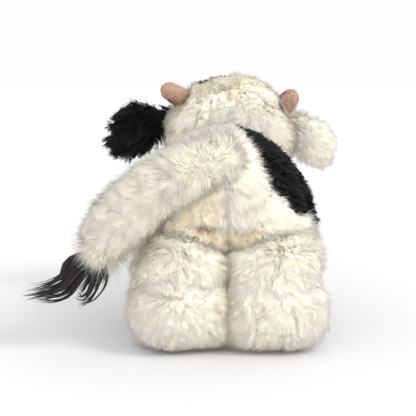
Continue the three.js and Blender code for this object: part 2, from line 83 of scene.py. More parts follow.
behind = Vector((0, math.cos(camera_rise), math.sin(camera_rise)))
camera = placed("camera", bpy.data.cameras.new("camera"), behind, camera_distance)
camera.data.sensor_width = 36
camera.data.lens = 112.5
scene = bpy.context.scene
scene.camera = camera
scene.view_settings.view_transform = "Standard"
scene.cycles.max_bounces = 12  # light finds its way deep into pale pile
scene.cycles.diffuse_bounces = 12

# Table top and light
# A plain white table, under a broad lamp far off to the camera's right and a weaker, broader one
# over the camera. The room is seen as plain white, and the table keeps the toy's soft shadow.
table_half = 4.0
table_white = (0.86, 0.85, 0.84, 1)
table_shown = (0.88, 0.88, 0.895, 1)  # as the camera sees it
table_grain = (0.8, 0.8, 0.8, 1)
room_colour = (0.99, 0.99, 1.0, 1)
room_strength = 0.88
lamp_strength = 1.15
lamp_spread = math.radians(22)
lamp_colour = (1.0, 0.975, 0.94)
lamp_way = Vector((-1.0, 0.60, 1.0))
fill_strength = 0.78
fill_spread = math.radians(70)
fill_way = Vector((0.05, 1.0, 0.3))


class Tone:
    """One output of a material's nodes. Sums on it add Math nodes, and node() adds any other node."""

    def __init__(self, tree, socket=None):
        self.tree = tree
        self.socket = socket

    def node(self, kind, settings=None, inputs=None, output=0):
        made = self.tree.nodes.new("ShaderNode" + kind)
        for key, value in (settings or {}).items():
            if key == "stops":
                ramp = made.color_ramp.elements
                while len(ramp) < len(value):
                    ramp.new(0.5)
                for element, (place, colour) in zip(ramp, value):
                    element.position = place
                    element.color = colour
            elif key == "interpolation":
                made.color_ramp.interpolation = value
            else:
                setattr(made, key, value)
        for key, value in (inputs or {}).items():
            if isinstance(value, Tone):
                self.tree.links.new(value.socket, made.inputs[key])
            else:
                made.inputs[key].default_value = value
        return Tone(self.tree, made.outputs[output])

    def math(self, operation, first, second):
        return self.node("Math", {"operation": operation}, {0: first, 1: second})

    def __add__(self, other):
        return self.math("ADD", self, other)

    __radd__ = __add__

    def __sub__(self, other):
        return self.math("SUBTRACT", self, other)

    def __rsub__(self, other):
        return self.math("SUBTRACT", other, self)

    def __mul__(self, other):
        return self.math("MULTIPLY", self, other)

    __rmul__ = __mul__

    def colour(self, first, second):
        """The first colour where this is 0, and the second where it is 1. A Mix node's sockets for
        colours are its inputs 6 and 7 and its output 2."""
        return self.node("Mix", {"data_type": "RGBA"}, {0: self, 6: first, 7: second}, 2)


def finish_named(name, paint, **fixed):
    """A material: paint(tone) gives what varies over its surface, and fixed what doesn't."""
    made = bpy.data.materials.new(name)
    made.use_nodes = True
    shader = made.node_tree.nodes["Principled BSDF"]
    for key, value in fixed.items():
        shader.inputs[key.replace("_", " ")].default_value = value
    for key, value in paint(Tone(made.node_tree)).items():
        made.node_tree.links.new(value.socket, shader.inputs[key])
    return made


world = bpy.data.worlds.new("room")
scene.world = world
world.use_nodes = True
room = world.node_tree.nodes["Background"]
room_tone = Tone(world.node_tree)
seen_share = room_tone.node("LightPath", output="Is Camera Ray")
for ray in ("Is Glossy Ray", "Is Transmission Ray"):
    seen_share = room_tone.math("MAXIMUM", seen_share, room_tone.node("LightPath", output=ray))
room.inputs["Color"].default_value = room_colour
strength = seen_share * (1 - room_strength) + room_strength
world.node_tree.links.new(strength.socket, room.inputs["Strength"])

table_mesh = bpy.data.meshes.new("table_top")
table_corners = [(x * table_half, y * table_half, 0) for x, y in ((-1, -1), (1, -1), (1, 1), (-1, 1))]
table_mesh.from_pydata(table_corners, [], [(0, 1, 2, 3)])
table_top = placed("table_top", table_mesh)


def table_paint(tone):
    seen = tone.node("LightPath", output="Is Camera Ray")
    grain = tone.node("TexNoise", None, {"Scale": 3.0, "Detail": 2.0})
    shown = seen.colour(table_white, table_shown)
    return {"Base Color": (grain * 0.06).colour(shown, table_grain)}


table_mesh.materials.append(finish_named("table_white", table_paint, Roughness=0.9))

for name, energy, spread, way in (
    ("lamp", lamp_strength, lamp_spread, lamp_way),
    ("fill_lamp", fill_strength, fill_spread, fill_way),
):
    lamp = placed(name, bpy.data.lights.new(name, "SUN"), way)
    lamp.data.energy = energy
    lamp.data.angle = spread
    lamp.data.color = lamp_colour

# Torso
# The body is a bag of cream long-pile plush, cut in panels and filled tight with fibre. A black
# panel is sewn into the right flank. The pile lies down and back, and whirls round the tail.
cover_depth = 0.008  # how deep the woven backing lies under the tips of the pile
seat_depth = 0.0015
seat_reach = 0.0045  # how near another body's solid is where it presses on this one
remesh_size = 0.004
joint_places = {joint["name"]: Vector(joint["pos_m"]) for joint in frame["joints"]}
tail_seat = joint_places["tail_swing"]
spine_x = (joint_places["left_hind_swing"].x + joint_places["right_hind_swing"].x) / 2
strand_steps = np.array([0.0, 0.34, 0.7, 1.0])
strand_shape = np.array([1.0, 0.95, 0.62, 0.0])  # its share of the full width at each step
tone_columns = 8
half_column = 0.4  # of a tone's column on the map, so that no fibre reaches its edge
seated_share = 0.9
root_depth = 0.0006
length_range = (0.72, 1.12)
width_range = (0.6, 1.25)
guard_longer = 1.35
one_tone = 0.55


def tree_over(nodes):
    """A search tree over the surfaces of some of the frame's nodes."""
    corners, faces = [], []
    for node in nodes:
        mesh = frame["nodes"][node].data
        start = len(corners)
        corners += [v.co.copy() for v in mesh.vertices]
        faces += [[start + i for i in p.vertices] for p in mesh.polygons]
    return BVHTree.FromPolygons(corners, faces)


def read_mesh(mesh):
    """A mesh's points and its triangles, as arrays."""
    points = np.empty(len(mesh.vertices) * 3)
    mesh.vertices.foreach_get("co", points)
    mesh.calc_loop_triangles()
    triangles = np.empty(len(mesh.loop_triangles) * 3, int)
    mesh.loop_triangles.foreach_get("vertices", triangles)
    return points.reshape(-1, 3), triangles.reshape(-1, 3)


def point_normals(points, triangles):
    a, b, c = (points[triangles[:, k]] for k in range(3))
    facing = np.cross(b - a, c - a)
    normals = np.zeros_like(points)
    for k in range(3):
        np.add.at(normals, triangles[:, k], facing)
    return normals / np.maximum(np.linalg.norm(normals, axis=1, keepdims=True), 1e-12)


def spread_out(values, triangles, rounds):
    """Each point's value evened out with its neighbours'."""
    for _ in range(rounds):
        total, count = np.zeros_like(values), np.zeros(len(values))
        for k in range(3):
            for m in range(3):
                np.add.at(total, triangles[:, k], values[triangles[:, m]])
                np.add.at(count, triangles[:, k], 1)
        values = total / np.maximum(count, 1)
    return values


def far_from(nodes, points):
    """How far points are from the surfaces of some of the frame's nodes."""
    tree = tree_over(nodes)
    return np.array([tree.find_nearest(Vector(point))[3] for point in points])


def shown_body(node):
    return frame["nodes"][node].parent.name.split(":")[-1]


def stuffed(nodes, depth, size=remesh_size, rounds=10, press=lambda points: 0):
    """The woven backing of a stuffed bag, which lies under its pile, from the nodes it stands for.
    press(points) is how much deeper a seam pulls it in."""
    joined = bmesh.new()
    for node in nodes:
        joined.from_mesh(frame["nodes"][node].data)
    rough = bpy.data.meshes.new("rough")
    joined.to_mesh(rough)
    joined.free()
    shaped = placed("rough", rough)
    remesh = shaped.modifiers.new("remesh", "REMESH")
    remesh.mode = "VOXEL"
    remesh.voxel_size = size
    soften = shaped.modifiers.new("soften", "SMOOTH")
    soften.factor = 0.5
    soften.iterations = rounds
    depsgraph = bpy.context.evaluated_depsgraph_get()
    made = bpy.data.meshes.new_from_object(shaped.evaluated_get(depsgraph))
    points, triangles = read_mesh(made)
    bpy.data.objects.remove(shaped)
    bpy.data.meshes.remove(rough)
    bpy.data.meshes.remove(made)
    normals = point_normals(points, triangles)
    body = shown_body(nodes[0])
    others = tree_over([n for n in frame["nodes"] if shown_body(n) != body])
    starts = points - normals * 0.001
    hits = [others.ray_cast(Vector(s), Vector(n), seat_reach) for s, n in zip(starts, normals)]
    touching = spread_out(np.array([hit[0] is not None for hit in hits], float), triangles, 4)
    middles = (points + normals * 0.002)[triangles].mean(1)
    owner = np.argmin([far_from([node], middles) for node in nodes], axis=0)
    depths = (depth + press(points)) * (1 - touching) + seat_depth * touching
    points = points - normals * depths[:, None]
    return SimpleNamespace(
        nodes=nodes, points=points, triangles=triangles, touching=touching, owner=owner,
        normals=point_normals(points, triangles), rooted=owner,
    )


def piece(name, mesh, body, finish):
    """A mesh as a piece that rides on one body."""
    mesh.materials.append(finish)
    made = placed(name, mesh)
    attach(made, body)
    return made


def show(name, points, faces, body, slot, finish):
    mesh = bpy.data.meshes.new(name)
    mesh.from_pydata([tuple(p) for p in points], [], [tuple(int(i) for i in f) for f in faces])
    mesh.polygons.foreach_set("use_smooth", [True] * len(mesh.polygons))
    return piece(name, mesh, body, finish)


def cover(bag, node, cloth):
    """The part of a bag's backing that stands for one node."""
    chosen = bag.triangles[bag.owner == bag.nodes.index(node)]
    used, faces = np.unique(chosen, return_inverse=True)
    faces = faces.reshape(-1, 3)
    made = show(node + "_cover", bag.points[used], faces, shown_body(node), cloth.slot, cloth.backing)
    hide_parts(node)
    return made


def rows(*values):
    return np.array(values, float)


def sizes(vectors):
    return np.linalg.norm(vectors, axis=1)


def ways(*parts):
    """Vectors of three parts each, where one number stands for a part of all."""
    return np.stack(np.broadcast_arrays(*parts), 1)


def unit(vectors):
    return vectors / np.maximum(sizes(vectors)[:, None], 1e-9)


def turned(vectors, axes, angles):
    """Vectors square to their axes, turned about them by angles."""
    return vectors * np.cos(angles)[:, None] + np.cross(axes, vectors) * np.sin(angles)[:, None]


def nearest(points, centres):
    tree = KDTree(len(centres))
    for i, centre in enumerate(centres):
        tree.insert(centre, i)
    tree.balance()
    return np.array([tree.find(point)[1] for point in points])


def fibres(name, paths, across, widths, tones, body, finish, facing=None):
    """Flat fibres along paths, each narrowing to its tip, in one mesh. They catch light softly, as fine
    pile does, where facing gives the way that their whole surface faces."""
    count, steps = paths.shape[:2]
    narrow = np.interp(np.linspace(0, 1, steps), strand_steps, strand_shape)
    half = across * (widths[:, None] * narrow[:-1] / 2)[..., None]
    left, right = paths[:, :-1] - half, paths[:, :-1] + half
    ring = np.stack([left, right], 2).reshape(count, -1, 3)
    points = np.concatenate([ring, paths[:, -1:]], 1).reshape(-1, 3)
    each = 2 * (steps - 1) + 1
    quads = np.array([[2 * k, 2 * k + 1, 2 * k + 3, 2 * k + 2] for k in range(steps - 2)])
    corners = np.concatenate([quads.ravel(), [2 * steps - 4, 2 * steps - 3, 2 * steps - 2]])
    loops = (corners + each * np.arange(count)[:, None]).ravel()
    lengths = np.tile([4] * (steps - 2) + [3], count)
    mesh = bpy.data.meshes.new(name)
    mesh.vertices.add(len(points))
    mesh.vertices.foreach_set("co", points.astype(np.float32).ravel())
    mesh.loops.add(len(loops))
    mesh.loops.foreach_set("vertex_index", loops.astype(np.int32))
    mesh.polygons.add(len(lengths))
    starts = np.concatenate([[0], np.cumsum(lengths)[:-1]])
    mesh.polygons.foreach_set("loop_start", starts.astype(np.int32))
    mesh.update(calc_edges=True)
    share = np.linspace(0, 1, steps)
    sides = np.tile([-half_column, half_column], steps - 1)
    u = np.concatenate([sides, [0.0]])[corners]
    v = np.concatenate([np.repeat(share[:-1], 2), [1.0]])[corners]
    uv = mesh.uv_layers.new(name="OFBake")
    u = (tones[:, None] + 0.5 + u) / tone_columns
    v = np.broadcast_to(0.01 + 0.98 * v, u.shape)
    uv.data.foreach_set("uv", np.stack([u, v], -1).astype(np.float32).ravel())
    if facing is not None:
        mesh.polygons.foreach_set("use_smooth", np.ones(len(lengths), bool))
        mesh.normals_split_custom_set_from_vertices(np.repeat(facing, each, 0))
    return piece(name, mesh, body, finish)


def grow(name, bag, node, cloth, seed, comb, style, where=None):
    """The pile rooted on one node's part of a bag, combed along comb(points, normals)."""
    random = np.random.default_rng(seed)
    corners = bag.points[bag.triangles]
    middles = corners.mean(1)
    area = sizes(np.cross(corners[:, 1] - corners[:, 0], corners[:, 2] - corners[:, 0])) / 2
    open_face = (bag.rooted == bag.nodes.index(node)) & (bag.touching[bag.triangles].mean(1) < seated_share)
    if where is not None:
        open_face &= where(middles)
    weight = area * open_face
    count = int(weight.sum() * style.per_area)
    face = random.choice(len(area), count, p=weight / weight.sum())
    a, b = random.random((2, count))
    a, b = np.where(a + b > 1, 1 - a, a), np.where(a + b > 1, 1 - b, b)
    shares = np.stack([1 - a - b, a, b], 1)[..., None]
    root = (corners[face] * shares).sum(1)
    normal = unit((bag.normals[bag.triangles[face]] * shares).sum(1))
    way = comb(root, normal)
    lie = unit(way - normal * (way * normal).sum(1, keepdims=True))

    # Locks: a wide one turns its pile a little, and a fine one draws its tips together
    wide = nearest(root, root[: max(int(weight.sum() / style.wide_lock**2), 4)])
    turn = random.normal(0, style.wide_turn, count)[wide]
    raised = random.normal(0, style.wide_lift, count)[wide]
    longer = random.normal(1, 0.1, count)[wide]
    own = random.normal(0, style.own_turn, count) * (1 + 3 * style.parting(root))
    lie = turned(lie, normal, turn + own)
    raised = raised + style.rise(root, normal)
    lean = math.radians(style.lean) + raised + random.normal(0, style.own_lift, count)
    end_lean = math.radians(style.end_lean) + raised * 0.6 + random.normal(0, style.own_lift, count)
    length = style.length * longer * random.uniform(*length_range, count)
    length = np.where(random.random(count) < style.guard, length * guard_longer, length)
    length = length * style.trim(root)
    path = np.empty((count, len(strand_steps), 3))
    path[:, 0] = root - normal * root_depth
    for k, step in enumerate(np.diff(strand_steps)):
        middle_step = strand_steps[k] + step / 2
        angle = lean + (end_lean - lean) * middle_step
        forward = normal * np.sin(angle)[:, None] + lie * np.cos(angle)[:, None]
        path[:, k + 1] = path[:, k] + forward * (length * step)[:, None]
    path[..., 2] -= style.droop * length[:, None] * strand_steps**2
    fine_count = max(int(weight.sum() / style.fine_lock**2), 4)
    fine = nearest(root, root[:fine_count])
    drawn = (style.drawn * random.uniform(0.5, 1.25, fine_count))[fine]
    drawn = np.minimum(drawn, 0.95)[:, None] * strand_steps**1.3
    path += (path[fine] - path) * drawn[..., None]
    wave = random.normal(0, style.wave, (count, 3))
    path += wave[:, None] * (strand_steps * (1.2 - strand_steps))[:, None]
    path[..., 2] = np.maximum(path[..., 2], 0.0004 + 0.0012 * random.random(count)[:, None])

    forward = unit(path[:, -1] - path[:, 0])
    shown = normal if style.open_side is None else unit(normal + style.open_side(root, normal))
    across = unit(np.cross(forward, shown) + random.normal(0, 0.12, (count, 3)))
    across = unit(across - forward * (across * forward).sum(1, keepdims=True))
    across = turned(across, forward, np.clip(random.normal(0, style.twist, count), -1.3, 1.3))
    flat = unit(np.cross(across, forward))
    facing = unit(shown * style.softness + flat * (1 - style.softness) + forward * 0.15)
    widths = style.width * random.uniform(*width_range, count)
    odds = np.array(style.tones, float)
    tone_edges = np.cumsum(odds / odds.sum())
    # A fine lock keeps one tone for most of its fibres
    lot = np.where(random.random(count) < one_tone, random.random(fine_count)[fine], random.random(count))
    tones = np.minimum(np.searchsorted(tone_edges, lot), tone_columns - 1)
    # Painted shade: a style may give sheltered fibres deeper, yellower tones
    tones = style.tint(root, tones, random)
    body = shown_body(node)
    return fibres(name, path, across[:, None], widths, tones, body, cloth.fibre, facing)


def fibre_paint(root_colours, tip_colours, root_share):
    """Paint for fibres: a column of tones across the map, and from root to tip along it."""

    def paint(tone):
        place = tone.node("UVMap", {"uv_map": "OFBake"})
        column, along = (tone.node("SeparateXYZ", None, {0: place}, axis) for axis in "XY")
        ramps = []
        for colours in (root_colours, tip_colours):
            stops = [(i / tone_columns, (*colour, 1)) for i, colour in enumerate(colours)]
            ramps.append(tone.node("ValToRGB", {"stops": stops, "interpolation": "CONSTANT"}, {0: column}))
        ends = {0: along, 1: 0.0, 2: root_share}
        rise = tone.node("MapRange", {"interpolation_type": "SMOOTHSTEP"}, ends)
        return {"Base Color": rise.colour(ramps[0], ramps[1])}

    return paint


def backing_paint(first, second):
    """Paint for woven backing: its rows of knots, and the dye's unevenness."""

    def paint(tone):
        place = tone.node("TexCoord", output="Object")
        knots = tone.node("TexVoronoi", None, {"Vector": place, "Scale": 700.0})
        blotch = tone.node("TexNoise", None, {"Vector": place, "Scale": 60.0, "Detail": 3.0})
        bump = tone.node("Bump", None, {"Height": knots, "Strength": 0.4, "Distance": 0.0006})
        return {"Base Color": blotch.colour((*first, 1), (*second, 1)), "Normal": bump}

    return paint


def cloth(slot, fibre, roots, tips, root_share, backing, **fixed):
    """A cloth with a pile: its slot, and the finishes of its fibres and of its woven backing. Its roots
    are a palette, or a share of the one of its tips."""
    if isinstance(roots, float):
        roots = [tuple(roots * c for c in colour) for colour in tips]
    fibre_finish = finish_named(fibre, fibre_paint(roots, tips, root_share), **fixed)
    backing_finish = finish_named(fibre.split("_")[0] + "_backing", backing_paint(*backing), Roughness=0.95)
    return SimpleNamespace(slot=slot, fibre=fibre_finish, backing=backing_finish)


# The last two tones are yellower. A few fibres anywhere take them, and the sheltered folds take them as
# painted shade.
cream_tips = [
    (0.975, 0.955, 0.905), (0.97, 0.945, 0.89), (0.97, 0.94, 0.88), (0.98, 0.965, 0.925),
    (0.965, 0.935, 0.865), (0.96, 0.925, 0.84), (0.95, 0.89, 0.74), (0.94, 0.86, 0.66),
]
# The roots are a touch yellower than the tips: painted shade for the depths of the pile.
cream_roots = [
    (0.97, 0.945, 0.88), (0.965, 0.935, 0.86), (0.965, 0.93, 0.845), (0.97, 0.95, 0.895),
    (0.96, 0.915, 0.81), (0.955, 0.90, 0.77), (0.945, 0.875, 0.69), (0.935, 0.845, 0.61),
]
cream_plush = cloth(
    "cream_plush", "cream_fibre", cream_roots, cream_tips, 0.6, ((0.92, 0.86, 0.72), (0.95, 0.90, 0.79)),
    Roughness=0.55, Specular_IOR_Level=0.25, Subsurface_Weight=0.7, Subsurface_Scale=0.005,
    Subsurface_Radius=(1.0, 0.97, 0.9),
)
cream_plush.fibre.node_tree.nodes["Principled BSDF"].subsurface_method = "BURLEY"
black_tips = [
    (0.007, 0.007, 0.009), (0.009, 0.009, 0.012), (0.006, 0.006, 0.008), (0.013, 0.013, 0.017),
    (0.008, 0.008, 0.010), (0.02, 0.02, 0.025), (0.005, 0.005, 0.007), (0.045, 0.045, 0.055),
]
black_plush = cloth(
    "black_plush", "black_fibre", 0.6, black_tips, 0.6, ((0.010, 0.010, 0.012), (0.014, 0.014, 0.017)),
    Roughness=0.5, Specular_IOR_Level=0.18,
)


def styled(style, **changes):
    return SimpleNamespace(**{**vars(style), **changes})


# A style of pile, in metres, radians and shares. Its two leans alone are in degrees: how far a fibre
# stands off the cloth, at its root and at its tip. The last five change it over the cloth.
long_pile = SimpleNamespace(
    per_area=2.2e6, length=0.0160, lean=61, end_lean=35, width=0.00055,
    wide_lock=0.016, wide_turn=0.22, wide_lift=0.06, fine_lock=0.0034, drawn=0.42,
    own_turn=0.42, own_lift=0.2, droop=0.05, wave=0.0010, twist=0.4, guard=0.09,
    tones=(6, 6, 4, 4, 2, 2, 0.7, 0.3), softness=0.75,
    trim=lambda root: 1, parting=lambda root: 0, rise=lambda root, normal: 0,
    tint=lambda root, tones, random: tones, open_side=None,
)
curly_pile = styled(
    long_pile, per_area=1.3e6, length=0.0115, lean=66, end_lean=22, width=0.0008, wide_lock=0.008,
    wide_turn=0.7, wide_lift=0.3, fine_lock=0.0036, drawn=0.78, own_turn=0.3, droop=0.08,
    wave=0.0015, twist=0.7, guard=0.06, tones=(5, 5, 5, 2, 5, 1.2, 4, 0.5), softness=0.25,
)


def torso_comb(points, normals):
    """Out in all directions from the whirl by the tail, and down."""
    side = (points[:, 0] - spine_x) / torso_half_width
    return ways(0.45 * side, 0.0, -0.5) + unit(points - np.array(tail_seat)) * 1.25


def within(low, high, values):
    """0 up to low, 1 from high, and an even turn between."""
    share = np.clip((values - low) / (high - low), 0, 1)
    return share * share * (3 - 2 * share)


torso_half_width = 0.09
seam_height = 0.1335
seam_half = 0.0035
seam_pull = 0.008
parting_radius = 0.022
rump_y = 0.085  # the rump's pile is rooted behind this
back_z = 0.15  # and the back's in front of it and above this
corner_x = (-0.018, 0.034)  # the ends of the sheltered corner's upper edge
corner_z = (0.176, 0.131)
# Each pair is where a share starts and where it is full, off the spine or along an axis
fold_width = (0.046, 0.030)
fold_back = (0.04, 0.07)
fold_height = (0.137, 0.126)
corner_side = (-0.036, -0.024)
corner_back = (0.08, 0.10)
locks_height = (0.19, 0.15)
locks_right = (-0.075, -0.05)
locks_left = (-0.02, -0.032)
haunch_top = (0.148, 0.136)
haunch_back = (0.06, 0.09)
curls_height = (0.138, 0.165)
curls_top = (0.200, 0.222)
curls_side = (-0.010, -0.022)


def off_spine(points):
    return np.abs(points[:, 0] - spine_x)


def from_tail(points):
    """How far points are from the middle of the tail's root, as seen from behind."""
    return sizes((points - np.array(tail_seat))[:, [0, 2]])


def between_legs(points):
    """1 between the haunches, and 0 out over them."""
    return within(*fold_width, off_spine(points)) * within(*fold_back, points[:, 1])


def under_seam(points):
    """How far a point is down in the fold under the rump's seam, between the haunches."""
    return within(*fold_height, points[:, 2]) * between_legs(points)


def under_tail(points):
    """How far a point is in the sheltered corner between the tail, the seam and the hanging locks."""
    x, y, z = points.T
    edge = np.interp(x, corner_x, corner_z)
    inside = within(edge + 0.008, edge - 0.002, z) * within(*corner_side, x)
    return inside * within(*corner_back, y) * (1 - under_seam(points))


def rump_trim(points):
    """Shorter pile at the seam and in its hollows, and longer where it hangs over them."""
    x, y, z = points.T
    seam = np.exp(-(((z - seam_height) / seam_half) ** 2)) * between_legs(points)
    locks = within(*locks_height, z) * within(*locks_right, x) * within(*locks_left, x)
    hollow = (1 - 0.3 * under_seam(points)) * (1 - 0.15 * under_tail(points))
    over_haunch = within(*haunch_top, z) * (1 - between_legs(points)) * within(*haunch_back, y)
    return (1 + 0.3 * locks) * hollow * (1 - 0.25 * seam) * (1 + 0.4 * over_haunch)


def tail_parting(points):
    """How near a point is to where the pile parts, over the tail's root."""
    return np.exp(-((from_tail(points) / parting_radius) ** 2))


def tail_rise(points, normals):
    """The pile lies lower where it parts."""
    return -0.3 * tail_parting(points)


def rump_tint(points, tones, random):
    """Painted shade: the pile in the fold under the seam and under the tail takes deeper, yellower tones."""
    shade_share = np.maximum(under_seam(points), 0.75 * under_tail(points))
    painted_shade = random.integers(5, 8, len(tones))
    return np.where(random.random(len(tones)) < 0.9 * shade_share, painted_shade, tones)


def torso_part(points):
    """Which pile the torso's points are under."""
    x, y, z = points.T
    side = np.where(x > spine_x, "left", "right")
    lower = np.char.add(side, np.where(y > rump_y, "_rump", "_side"))
    return np.where((y <= rump_y) & (z > back_z), "back", lower)


torso_bag = stuffed(["torso", "flank_patch"], cover_depth, press=lambda p: seam_pull * under_seam(p))
cover(torso_bag, "torso", cream_plush)
cover(torso_bag, "flank_patch", black_plush)
# The curls of the black panel spread over the seam and hide the cream beside it, more so higher up
faces_at = torso_bag.points[torso_bag.triangles].mean(1)
right_of_spine = within(*curls_side, faces_at[:, 0] - spine_x)
curl_spread = 0.0110 + 0.0085 * within(*curls_height, faces_at[:, 2])
curl_spread = curl_spread + 0.010 * within(*curls_top, faces_at[:, 2]) * right_of_spine
torso_bag.rooted = np.where(far_from(["flank_patch"], faces_at) < curl_spread, 1, 0)
# The rump's pile takes yellower tones as painted shade in its fold and under the tail.
rump_pile = styled(long_pile, trim=rump_trim, tint=rump_tint, rise=tail_rise, parting=tail_parting)
# Fewer and wider fibres where the photo's camera doesn't look
torso_pile = styled(rump_pile, per_area=1.5e6, width=0.0007)
for part, seed, style in (
    ("left_rump", 11, rump_pile), ("right_rump", 16, rump_pile), ("back", 12, torso_pile),
    ("left_side", 13, torso_pile), ("right_side", 14, torso_pile),
):
    grow(
        part + "_pile", torso_bag, "torso", cream_plush, seed, torso_comb, style,
        lambda p: torso_part(p) == part,
    )
grow("flank_patch_pile", torso_bag, "flank_patch", black_plush, 15, torso_comb, curly_pile)

# Legs
# Each leg is a stuffed haunch over a fat stuffed foot, of the same cream plush. The pile falls
# down and outward from the seam between them, and is pressed flat under the foot.
photo_side = 416  # pixels
# Where the pile of a foot parts in the photo, and how far back that spot lies
whorl_pixels = {"left_hind_foot": (169, 299), "right_hind_foot": (277, 286)}
whorl_y = 0.175
leg_radius = 0.05
leg_depth = 0.006
leg_seed = 30
shoulder_pull = 0.006
pressed_bulge = 0.005
waist_height = 0.079
waist_half = 0.006
# Where shares start and are full, off the spine or along an axis
inner_width = (0.036, 0.016)
shoulder_width = (0.046, 0.020)
shoulder_height = (0.088, 0.116)
pressed_width = (0.026, 0.014)
pressed_back = (0.09, 0.12)
parted_height = (0.101, 0.112)
full_width = (0.034, 0.018)
top_height = (0.098, 0.118)
top_width = (0.030, 0.046)
sole_height = (0.008, 0.02)
# off the spine, where the pile takes yellower tones as painted shade
shade_width = (0.022, 0.008)


def seen_at(pixel, y):
    """Where the camera's line of sight through a pixel meets the upright plane at y."""
    focal = camera.data.lens / camera.data.sensor_width * photo_side
    right = Vector((-1, 0, 0))
    off_middle = right * (pixel[0] - photo_side / 2) + behind.cross(right) * (photo_side / 2 - pixel[1])
    ray = -behind + off_middle / focal
    return camera.location + ray * ((y - camera.location.y) / ray.y)


def leg_comb(centre, whorl):
    """Out and down, and where a whorl is given, away from it."""

    def comb(points, normals):
        out = (points[:, :2] - np.array(centre[:2])) / leg_radius
        inner = within(*inner_width, off_spine(points)) * within(*haunch_back, points[:, 1])
        way = ways(0.9 * out[:, 0] * (1 - inner), 0.9 * out[:, 1], -0.85)
        if whorl is not None:
            way = way * 0.45 + unit(points - np.array(seen_at(whorl, whorl_y))) * 1.1
        return way

    return comb


def inner_rise(points, normals):
    """The pile between the two legs stands up and meets."""
    toward = -np.sign(points[:, 0] - spine_x) * normals[:, 0]
    return 0.12 * within(0.3, 0.9, toward)


def inner_open(points, normals):
    """The pile between the two legs takes its light from behind and above."""
    toward = within(0.2, 0.75, -np.sign(points[:, 0] - spine_x) * normals[:, 0])
    return toward[:, None] * rows(0, 1.6, 0.9)


def inner_shoulder(points):
    """How far a point is up the inner shoulder of a haunch, which the fold between them rounds off."""
    return within(*shoulder_width, off_spine(points)) * within(*shoulder_height, points[:, 2])


def inner_fill(points):
    """How far a point is on the two faces of the fold between the legs, which press on each other."""
    return within(*pressed_width, off_spine(points)) * within(*pressed_back, points[:, 1])


def seam_parting(points):
    """How near a point is to the seam over the haunch, where its pile stands in all directions."""
    return 0.7 * within(*parted_height, points[:, 2])


def leg_trim(points):
    """Fuller pile in the fold between the legs and under the rump, and shorter at the waist and sole."""
    inner = within(*full_width, off_spine(points))
    waist = np.exp(-(((points[:, 2] - waist_height) / waist_half) ** 2))
    top = within(*top_height, points[:, 2]) * within(*top_width, off_spine(points))
    full = (1 + 0.3 * inner) * (1 - 0.1 * inner_shoulder(points)) * (1 - 0.25 * waist) * (1 + 0.25 * top)
    return np.interp(points[:, 2], sole_height, [0.62, 1.0]) * full


def leg_tint(points, tones, random):
    """Painted shade: the pile deep in the fold between the legs takes yellower tones."""
    painted_shade = within(*shade_width, off_spine(points)) * 0.75
    return np.where(random.random(len(tones)) < painted_shade, random.integers(5, 8, len(tones)), tones)


# The legs' pile takes yellower tones as painted shade in the fold between them.
soft_pile = styled(
    long_pile, length=0.0158, wide_turn=0.25, end_lean=33, guard=0.14, fine_lock=0.0024, drawn=0.5,
    tones=(7, 6, 3, 4, 2, 1.5, 1, 0.4),
    trim=leg_trim, tint=leg_tint, rise=inner_rise, open_side=inner_open, parting=seam_parting,
)
front_pile = styled(soft_pile, per_area=1.3e6, width=0.0007, open_side=None)


def leg_press(points):
    return shoulder_pull * inner_shoulder(points) - pressed_bulge * inner_fill(points)


for leg in ("left_hind", "right_hind", "left_front", "right_front"):
    leg_bag = stuffed([leg + "_foot", leg + "_haunch"], leg_depth, press=leg_press)
    low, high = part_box(leg + "_foot")
    middle = (low + high) / 2
    for part in ("foot", "haunch"):
        node = f"{leg}_{part}"
        cover(leg_bag, node, cream_plush)
        style = soft_pile if "hind" in leg else front_pile
        comb = leg_comb(middle, whorl_pixels.get(node))
        grow(node + "_pile", leg_bag, node, cream_plush, leg_seed, comb, style)
        leg_seed += 1

# Head
# The skull is a round stuffed bag of cream plush with a black panel over the crown and the left
# eye. The pile lies back from the face and down over the cheeks and the nape.
head_middle = (Vector(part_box("head")[0]) + Vector(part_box("head")[1])) / 2
head_half_width = 0.075
# Where the cream pile hides the black panel's edge by the left horn: left of x and behind y
crown_left = -0.012
crown_back = -0.125
# Where shares start and are full, away from a horn, from the right ear's seam and along y
horn_room = (0.012, 0.003)
ear_root = (0.034, 0.016)
curls_front = (-0.1, -0.07)


def head_comb(points, normals):
    side = (points[:, 0] - head_middle.x) / head_half_width
    return ways(0.8 * side, 0.8, -0.6)


def head_trim(points):
    """The pile is shorter where the horns stand in it, and fuller round the right ear's seam."""
    share = np.ones(len(points))
    for horn in ("left_horn", "right_horn"):
        low, high = (np.array(corner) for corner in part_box(horn))
        away = sizes(np.maximum(np.maximum(low - points, points - high), 0))
        share *= 1 - 0.55 * within(*horn_room, away)
    from_ear = sizes(points - np.array(joint_places["right_ear_flap"]))
    return share * (1 + 0.55 * within(*ear_root, from_ear))


def crown_rise(points, normals):
    """The pile lies lower over the crown."""
    return -0.25 * within(0.45, 0.9, normals[:, 2])


head_pile = styled(
    long_pile, wide_turn=0.3, tones=(8, 5, 2, 6, 1, 1, 0.3, 0.1), trim=head_trim, rise=crown_rise
)
head_bag = stuffed(["head", "face_patch"], cover_depth)
cover(head_bag, "head", cream_plush)
cover(head_bag, "face_patch", black_plush)
faces_at = head_bag.points[head_bag.triangles].mean(1)
by_horn = (faces_at[:, 0] > crown_left) & (faces_at[:, 1] > crown_back)
head_bag.rooted = np.where(by_horn, 0, head_bag.rooted)
for pile_name, seed, style, at_back in (
    ("nape_pile", 51, head_pile, True), ("cheek_pile", 52, styled(head_pile, per_area=1.8e6), False)
):
    grow(
        pile_name, head_bag, "head", cream_plush, seed, head_comb, style,
        lambda p: (p[:, 1] > head_middle.y) == at_back,
    )
face_pile = styled(curly_pile, length=0.009, trim=lambda p: 1 + 0.4 * within(*curls_front, p[:, 1]))
grow("face_patch_pile", head_bag, "face_patch", black_plush, 53, head_comb, face_pile)

